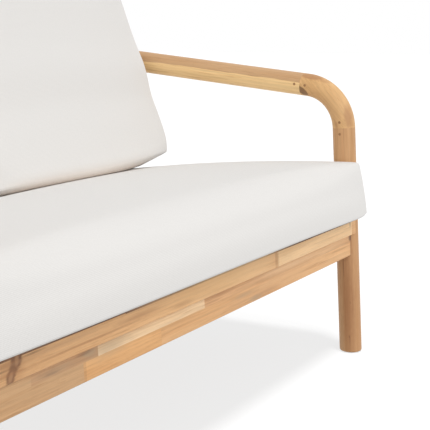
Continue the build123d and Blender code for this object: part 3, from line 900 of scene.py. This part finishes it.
def back_form(points, half, side):
    """A back cushion in bench axes, at the left of the seat for side -1 and at the right for 1.

    The front is gently crowned, with a slack fold in its lower half and lower corners that
    draw in, and the foot sags between the ends. up and forward are measured from where the
    face of the back slats meets the deck, along the slats and square to them.
    """
    along, deep = points[:, 0] / half[0], points[:, 1] / half[1]
    share = (points[:, 2] / half[2] + 1) / 2
    belly = bow(2 * share - 1)
    front = (1 - deep) / 2
    x = side * BACK_MIDDLE + along * BACK_HALF_WIDTH
    x += np.sign(along) * BACK_END_SWELL * belly * bow(deep) * along**4
    outer = along * np.where(along * side > 0, 1.0, BACK_INNER_SHARE)
    sag = BACK_SAG * bow(outer) ** 1.25 * (1 - BACK_SAG_ROUND * (2 * front - 1) ** 2)
    foot = BACK_FOOT - BACK_FOOT_RISE * (1 - front) - sag
    head = BACK_HEAD + BACK_HEAD_CROWN * bow(along) * bow(deep)
    up = foot + share * (head - foot)
    face = BACK_THICKNESS + BACK_RIDGE.at(up) - BACK_FOLD.at(up)
    face -= BACK_CORNER.at(up) * along**4
    face += BACK_CROWN * bow(along) * belly
    forward = BACK_PLAY + front * face
    y = DECK_DEPTH - forward * cos(BACK_LEAN) + up * sin(BACK_LEAN)
    z = DECK_HEIGHT + up * cos(BACK_LEAN) + forward * sin(BACK_LEAN)
    return np.stack((x, y, z), axis=1)


# Fabric
SLUB = Layer(along=20.0, across=20.0, scale=12.0)
WEAVE_HEIGHTS = (-0.4, 0.9)
WEAVE_SHADES = (0.92, 1.04)
WEAVE_RELIEF = 0.0004
WEAVE_RELIEF_STRENGTH = 0.3
FABRIC_SURFACE = {
    "Roughness": 0.9,
    "Specular IOR Level": 0.2,
    "Sheen Weight": 0.15,
    "Sheen Roughness": 0.6,
}


def fabric(name, painted_shade_level):
    """Woven off-white cover: ribs on both diagonals, over and under, with painted warm shade along creases
    and seams.
    """
    cushions = bpy.context.scene.seat_cushions
    material = bpy.data.materials.new(f"{name}_weave")
    tree = cleared(material)
    place = put(tree, "ShaderNodeUVMap", uv_map="weave").outputs[0]
    parts = put(tree, "ShaderNodeSeparateXYZ", {0: place})
    rate = 2 * pi / cushions.weave
    diagonals = [add(tree, parts.outputs[0], parts.outputs[1]) for add in (plus, minus)]
    ribs = [calculated(tree, "SINE", times(tree, diagonal, rate)) for diagonal in diagonals]
    knot = times(tree, *ribs)
    height = plus(tree, times(tree, knot, 0.5), times(tree, drawn(tree, place, SLUB), 0.5))
    shade = spread(tree, height, *WEAVE_HEIGHTS, *WEAVE_SHADES)
    # Painted shade: the whole cover's colour is scaled down for the back cushions.
    cloth = tuple(painted_shade_level * part for part in cushions.fabric)
    # Painted shade: the cover is darkened towards the crease colour as far as the crease attribute says.
    shaded_cloth = tuple(part * fade for part, fade in zip(cloth, cushions.crease))
    crease_shade = put(tree, "ShaderNodeAttribute", attribute_name="crease").outputs["Fac"]
    colour = tinted(tree, blended(tree, crease_shade, (*cloth, 1.0), (*shaded_cloth, 1.0)), grey(tree, shade))
    inputs = {"Base Color": colour, **FABRIC_SURFACE}
    surfaced(tree, inputs, height, WEAVE_RELIEF_STRENGTH, WEAVE_RELIEF)
    return material


def subdivided(piece):
    """One level of subdivision, applied."""
    finer = piece.modifiers.new("finer", "SUBSURF")
    finer.levels = finer.render_levels = 1
    graph = bpy.context.evaluated_depsgraph_get()
    mesh = bpy.data.meshes.new_from_object(piece.evaluated_get(graph), depsgraph=graph)
    piece.modifiers.remove(finer)
    piece.data = mesh
    smoothed(mesh)


def sewn_up(piece, node, points, seam, pressed, painted_shade_level):
    """Finishes a cushion: its place, seams and fabric, and the CAD node that it stands for.

    pressed says how near each point lies to the crease where the cushions press, and so how much painted
    shade the cover gets there.
    The last argument scales the whole cover's colour down as painted shade, 1 for none.
    """
    # Painted shade: how strongly the cover is tinted dark along the crease and the seams.
    crease_shade = piece.data.attributes.new("crease", "FLOAT", "POINT")
    crease_shade.data.foreach_set("value", np.maximum(pressed, SEAM_WARMTH * seam).astype(np.float32))
    place_points(piece, from_bench(points))
    place_points(piece, sunk(piece, seam * bpy.context.scene.seat_cushions.seam_depth))
    subdivided(piece)
    piece.data.materials.append(fabric(node, painted_shade_level))
    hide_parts(node)
    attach(piece, node)


# Operators


def sided(marks, sign):
    """Marks of a right-hand piece, mirrored for a left-hand one, whose sign is -1."""
    return [((x, sign * y, z), *rest) for (x, y, z), *rest in marks]


class SEAT_OT_finish_side_frames(Operator):
    """Acacia finish for the round legs, elbows and arms"""

    bl_idname = "seat.finish_side_frames"
    bl_label = "Finish side frames"

    def execute(self, context):
        up = leaning(0.0)
        rear_up = leaning(-REAR_LEAN - SEAT_TILT)
        arm = leaning(pi / 2 - ARM_RISE)
        forward = -leaning(pi / 2)
        bend = leaning(pi / 4 - ARM_RISE / 2)
        rear_bend = leaning(-pi / 4 - ARM_RISE / 2)
        for side, sign in (("left", -1), ("right", 1)):
            face = (LEG_FACE[0] * sign, *LEG_FACE[1:])
            finish_board(f"front_leg_{side}", up, face, LEG_STRIPS, sided(LEG_MARKS, sign))
            finish_board(f"rear_leg_{side}", rear_up, forward, HONEY_STRIPS)
            marks = sided(ELBOW_MARKS, sign)
            finish_board(f"front_elbow_{side}", bend, forward + up, ELBOW_STRIPS, marks)
            finish_board(f"rear_elbow_{side}", rear_bend, up - forward, HONEY_STRIPS)
            finish_board(f"arm_{side}", arm, up, ARM_STRIPS)
        return {"FINISHED"}


class SEAT_OT_finish_rails(Operator):
    """Acacia finish for the rails, with their butted boards"""

    bl_idname = "seat.finish_rails"
    bl_label = "Finish rails"

    def execute(self, context):
        up = leaning(0.0)
        marks = on_face(APRON_FACE, APRON_MARKS)
        finish_board("front_apron", ALONG, up, APRON_STRIPS, marks, "apron_timber")
        marks = on_face(TOP_RAIL_FACE, TOP_RAIL_MARKS)
        finish_board("front_top_rail", ALONG, up, TOP_RAIL_STRIPS_WITH_PAINTED_SHADE, marks, "top_rail_timber")
        finish_board("rear_rail", ALONG, up, REAR_RAIL_STRIPS)
        sides = [f"{part}_{side}" for part in ("side_rail", "side_cleat") for side in ("left", "right")]
        for name in (*sides, "centre_bearer"):
            finish_board(name, leaning(pi / 2), up, DECK_RAIL_STRIPS)
        return {"FINISHED"}


class SEAT_OT_finish_slats(Operator):
    """Acacia finish for the deck slats"""

    bl_idname = "seat.finish_slats"
    bl_label = "Finish deck slats"

    def execute(self, context):
        names = sorted(name for name in nodes if name.startswith("seat_slat_"))
        for name, shade in zip(names, DECK_SLAT_COLOURS):
            finish_board(name, ALONG, leaning(0.0), [Strip([(END, shade)])])
        return {"FINISHED"}


class SEAT_OT_finish_back(Operator):
    """Acacia finish for the back frame"""

    bl_idname = "seat.finish_back"
    bl_label = "Finish back frame"

    def execute(self, context):
        up = leaning(BACK_LEAN)
        rear = leaning(pi / 2 + BACK_LEAN)
        for name in ("back_top_rail", "back_bottom_rail"):
            finish_board(name, ALONG, up, BACK_RAIL_STRIPS)
        slats = sorted(name for name in nodes if name.startswith("back_slat_"))
        for i, name in enumerate((*slats, "back_post_left", "back_post_right")):
            shade = BACK_SLAT_COLOURS[i % len(BACK_SLAT_COLOURS)]
            finish_board(name, up, rear, [Strip([(END, shade)])])
        return {"FINISHED"}


# Fixings
PIN_COLOUR = (0.38, 0.19, 0.08)
DOWEL_COLOUR = (0.62, 0.42, 0.24)
STEEL_COLOUR = (0.62, 0.61, 0.59)
GLIDE_COLOUR = (0.018, 0.018, 0.018)
SPECK_RANGE = (0.3, 0.7)
GLOSS_RANGE = (0.2, 0.8)
FIXING_ROUGHNESS_PLAY = 0.06
FIXING_RELIEF = 0.0002
FIXING_RELIEF_STRENGTH = 0.15


def plain(name, colour, roughness, metallic=0.0, mottle=0.06, scale=900.0):
    """A finish of one colour with fine mottling and relief."""
    material = bpy.data.materials.new(name)
    tree = cleared(material)
    speck = noise(tree, object_place(tree), scale)
    share = spread(tree, speck, *SPECK_RANGE, 1.0 - mottle, 1.0 + mottle)
    low, high = roughness - FIXING_ROUGHNESS_PLAY, roughness + FIXING_ROUGHNESS_PLAY
    inputs = {
        "Base Color": tinted(tree, (*colour, 1.0), grey(tree, share)),
        "Roughness": spread(tree, speck, *GLOSS_RANGE, low, high),
        "Metallic": metallic,
    }
    surfaced(tree, inputs, speck, FIXING_RELIEF_STRENGTH, FIXING_RELIEF)
    return material


class SEAT_OT_finish_fixings(Operator):
    """Finish for pins, dowels, bolts, screws and glides"""

    bl_idname = "seat.finish_fixings"
    bl_label = "Finish fixings"

    def execute(self, context):
        pin = plain("pin_end_grain", PIN_COLOUR, 0.7, mottle=0.25, scale=2500.0)
        finish(["joint_pins"], pin)
        dowel = plain("beech_dowel", DOWEL_COLOUR, 0.6, mottle=0.12)
        finish(["joint_dowels", "rail_dowels", "back_dowels"], dowel)
        steel = plain("stainless", STEEL_COLOUR, 0.32, metallic=1.0)
        finish(["frame_bolts", "barrel_nuts", "slat_screws"], steel)
        finish(["foot_glides"], plain("black_glide", GLIDE_COLOUR, 0.55))
        return {"FINISHED"}


class SEAT_OT_make_seat_cushion(Operator):
    """Sews and fills the one long seat cushion"""

    bl_idname = "seat.make_seat_cushion"
    bl_label = "Make seat cushion"

    def execute(self, context):
        cushions = context.scene.seat_cushions
        half = np.array(SEAT_BOX)
        points, quads, cloth, seam = boxed_grid(half, cushions.corner, cushions.panel_step)
        along, deep, rise = (points / half).T
        formed = seat_form(rolled(points, half, cushions.front_roll, power=5), half)
        piece = cloth_mesh("seat_cushion_cover", formed, quads, cloth)
        free = np.clip((SEAT_GIVE_END - deep) / SEAT_GIVE_FADE, 0, 1)
        formed = inflate(piece, np.clip(rise + 1, 0, 1) * (1 - np.abs(along) ** 8) * free)
        ahead = np.maximum(0, SEAT_FREE_TOP - formed[:, 1])
        limit = pressed_height(formed) - CREASE_GAP_HALF + SEAT_FREE_RISE * ahead**2
        formed[:, 2] = np.minimum(formed[:, 2], limit)
        # Painted shade on the seat's top where the back cushions press on it.
        pressed = SEAT_CREASE.at(formed[:, 1]) * (rise > SEAT_TOP_SHARE) * (1 - np.abs(along))
        sewn_up(piece, "seat_cushion", formed, seam, pressed, 1.0)
        return {"FINISHED"}


class SEAT_OT_make_back_cushions(Operator):
    """Sews and fills the two loose back cushions"""

    bl_idname = "seat.make_back_cushions"
    bl_label = "Make back cushions"

    def execute(self, context):
        cushions = context.scene.seat_cushions
        half = np.array(BACK_BOX)
        for side, name in ((-1, "back_cushion_left"), (1, "back_cushion_right")):
            points, quads, cloth, seam = boxed_grid(half, cushions.corner, cushions.panel_step)
            along, deep, rise = (points / half).T
            formed = back_form(rolled(points, half, cushions.foot_roll, power=3, edge=-1), half, side)
            piece = cloth_mesh(f"{name}_cover", formed, quads, cloth)
            free = np.clip((rise - BACK_GIVE_START) * BACK_GIVE_RATE, 0, 1)
            formed = inflate(piece, np.clip(1 - deep, 0, 1) * (1 - np.abs(along) ** 8) * free)
            formed[:, 2] = np.maximum(formed[:, 2], pressed_height(formed) + CREASE_GAP_HALF)
            # Painted shade on a back cushion's foot along the crease.
            pressed = BACK_CREASE.at(formed[:, 2] - pressed_height(formed)) * bow(along**3)
            sewn_up(piece, name, formed, seam, pressed, BACK_PAINTED_SHADE)
        return {"FINISHED"}


class SEAT_OT_set_stage(Operator):
    """Studio floor, light and the photograph's camera"""

    bl_idname = "seat.set_stage"
    bl_label = "Set stage"

    def execute(self, context):
        stage = context.scene.seat_stage
        make_light(stage, make_floor(stage))
        make_camera(stage)
        context.scene.view_settings.view_transform = "Standard"
        return {"FINISHED"}


# Stage
WHITE = (1.0, 1.0, 1.0, 1.0)
FLOOR_SPECK = 0.002
FLOOR_SPECK_SCALE = 40.0
KEY_WAY = (0.25, 0.75, -0.62)
KEY_ANGLE = radians(60)
FLOOR_KEY_WAY = (0.21, 0.21, -1.0)
FLOOR_KEY_ANGLE = radians(13)
SENSOR_WIDTH = 36.0


def looked_at(tree):
    """1 on rays that the camera sees straight, mirrored or through glass, and 0 on other rays."""
    rays = put(tree, "ShaderNodeLightPath").outputs
    mirrored = calculated(tree, "MAXIMUM", rays["Is Glossy Ray"], rays["Is Transmission Ray"])
    return calculated(tree, "MAXIMUM", rays["Is Camera Ray"], mirrored)


def glowing(tree, kind, strength):
    """White light of a strength, from an emission or a background shader."""
    return put(tree, kind, {"Color": WHITE, "Strength": strength}).outputs[0]


def make_floor(stage):
    """A wide plain floor.

    The camera sees a dark matt floor with a light of its own, so that its shadow is as even
    as the photograph's. Other rays see only the light that the floor gives back.
    """
    half = stage.floor_half
    corners = [(-half, -half, 0), (half, -half, 0), (half, half, 0), (-half, half, 0)]
    mesh = bpy.data.meshes.new("studio_floor")
    mesh.from_pydata(corners, [], [(0, 1, 2, 3)])
    floor = bpy.data.objects.new("studio_floor", mesh)
    bpy.context.scene.collection.objects.link(floor)
    material = bpy.data.materials.new("studio_floor")
    tree = cleared(material)
    speck = noise(tree, object_place(tree), FLOOR_SPECK_SCALE)
    level = spread(tree, speck, *SPECK_RANGE, 1.0 - FLOOR_SPECK, 1.0 + FLOOR_SPECK)
    colour = tinted(tree, (*stage.floor, 1.0), grey(tree, level))
    matt = put(tree, "ShaderNodeBsdfDiffuse", {"Color": colour}).outputs[0]
    glow = glowing(tree, "ShaderNodeEmission", stage.floor_glow)
    seen = put(tree, "ShaderNodeAddShader", {0: matt, 1: glow}).outputs[0]
    bounce = glowing(tree, "ShaderNodeEmission", stage.floor_bounce)
    mix = put(tree, "ShaderNodeMixShader", {0: looked_at(tree), 1: bounce, 2: seen})
    put(tree, "ShaderNodeOutputMaterial", {"Surface": mix.outputs[0]})
    mesh.materials.append(material)
    return floor


def add_sun(name, way, energy, angle):
    """A sun lamp that shines along a direction."""
    lamp = bpy.data.lights.new(name, "SUN")
    lamp.energy = energy
    lamp.angle = angle
    holder = bpy.data.objects.new(name, lamp)
    bpy.context.scene.collection.objects.link(holder)
    holder.rotation_euler = Vector(way).to_track_quat("-Z", "Y").to_euler()
    return holder


def make_light(stage, floor):
    """An even white surround, a soft lamp from the upper front and one for the floor alone."""
    world = bpy.data.worlds.new("studio")
    bpy.context.scene.world = world
    tree = cleared(world)
    surround = glowing(tree, "ShaderNodeBackground", stage.surround)
    white = glowing(tree, "ShaderNodeBackground", 1.0)
    mix = put(tree, "ShaderNodeMixShader", {0: looked_at(tree), 1: surround, 2: white})
    put(tree, "ShaderNodeOutputWorld", {"Surface": mix.outputs[0]})
    add_sun("key", KEY_WAY, stage.key_lamp, KEY_ANGLE)
    floor_key = add_sun("floor_key", FLOOR_KEY_WAY, stage.floor_lamp, FLOOR_KEY_ANGLE)
    only = bpy.data.collections.new("floor_only")
    only.objects.link(floor)
    floor_key.light_linking.receiver_collection = only


def make_camera(stage):
    """The photograph's camera, placed from the right front foot."""
    data = bpy.data.cameras.new("camera")
    data.lens = stage.lens
    data.sensor_width = SENSOR_WIDTH
    camera = bpy.data.objects.new("camera", data)
    bpy.context.scene.collection.objects.link(camera)
    camera.location = Vector(foot_place()) + Vector(stage.camera_place)
    level = cos(stage.pitch)
    way = Vector((cos(stage.heading) * level, sin(stage.heading) * level, -sin(stage.pitch)))
    camera.rotation_euler = way.to_track_quat("-Z", "Y").to_euler()
    bpy.context.scene.camera = camera


class SEAT_PT_panel(Panel):
    """Everything that dresses the seat"""

    bl_idname = "SEAT_PT_panel"
    bl_label = "Lounge Seat"
    bl_space_type = "VIEW_3D"
    bl_region_type = "UI"
    bl_category = "Lounge Seat"

    def draw(self, context):
        for operator in OPERATORS:
            self.layout.operator(operator.bl_idname)
        for key in GROUPS:
            group = getattr(context.scene, key)
            box = self.layout.box()
            for name in group.__annotations__:
                box.prop(group, name)


OPERATORS = (
    SEAT_OT_set_stage,
    SEAT_OT_finish_side_frames,
    SEAT_OT_finish_rails,
    SEAT_OT_finish_slats,
    SEAT_OT_finish_back,
    SEAT_OT_finish_fixings,
    SEAT_OT_make_seat_cushion,
    SEAT_OT_make_back_cushions,
)
GROUPS = {
    "seat_timber": TimberProperties,
    "seat_cushions": CushionProperties,
    "seat_stage": StageProperties,
}


def register():
    for group in GROUPS.values():
        bpy.utils.register_class(group)
    for name, group in GROUPS.items():
        setattr(bpy.types.Scene, name, PointerProperty(type=group))
    for operator in OPERATORS:
        bpy.utils.register_class(operator)
    bpy.utils.register_class(SEAT_PT_panel)


def unregister():
    bpy.utils.unregister_class(SEAT_PT_panel)
    for operator in reversed(OPERATORS):
        bpy.utils.unregister_class(operator)
    for name, group in GROUPS.items():
        delattr(bpy.types.Scene, name)
        bpy.utils.unregister_class(group)


def main():
    """Runs every operator in order."""
    register()
    bpy.ops.seat.set_stage()
    bpy.ops.seat.finish_side_frames()
    bpy.ops.seat.finish_rails()
    bpy.ops.seat.finish_slats()
    bpy.ops.seat.finish_back()
    bpy.ops.seat.finish_fixings()
    bpy.ops.seat.make_seat_cushion()
    bpy.ops.seat.make_back_cushions()


if __name__ == "__main__":
    main()
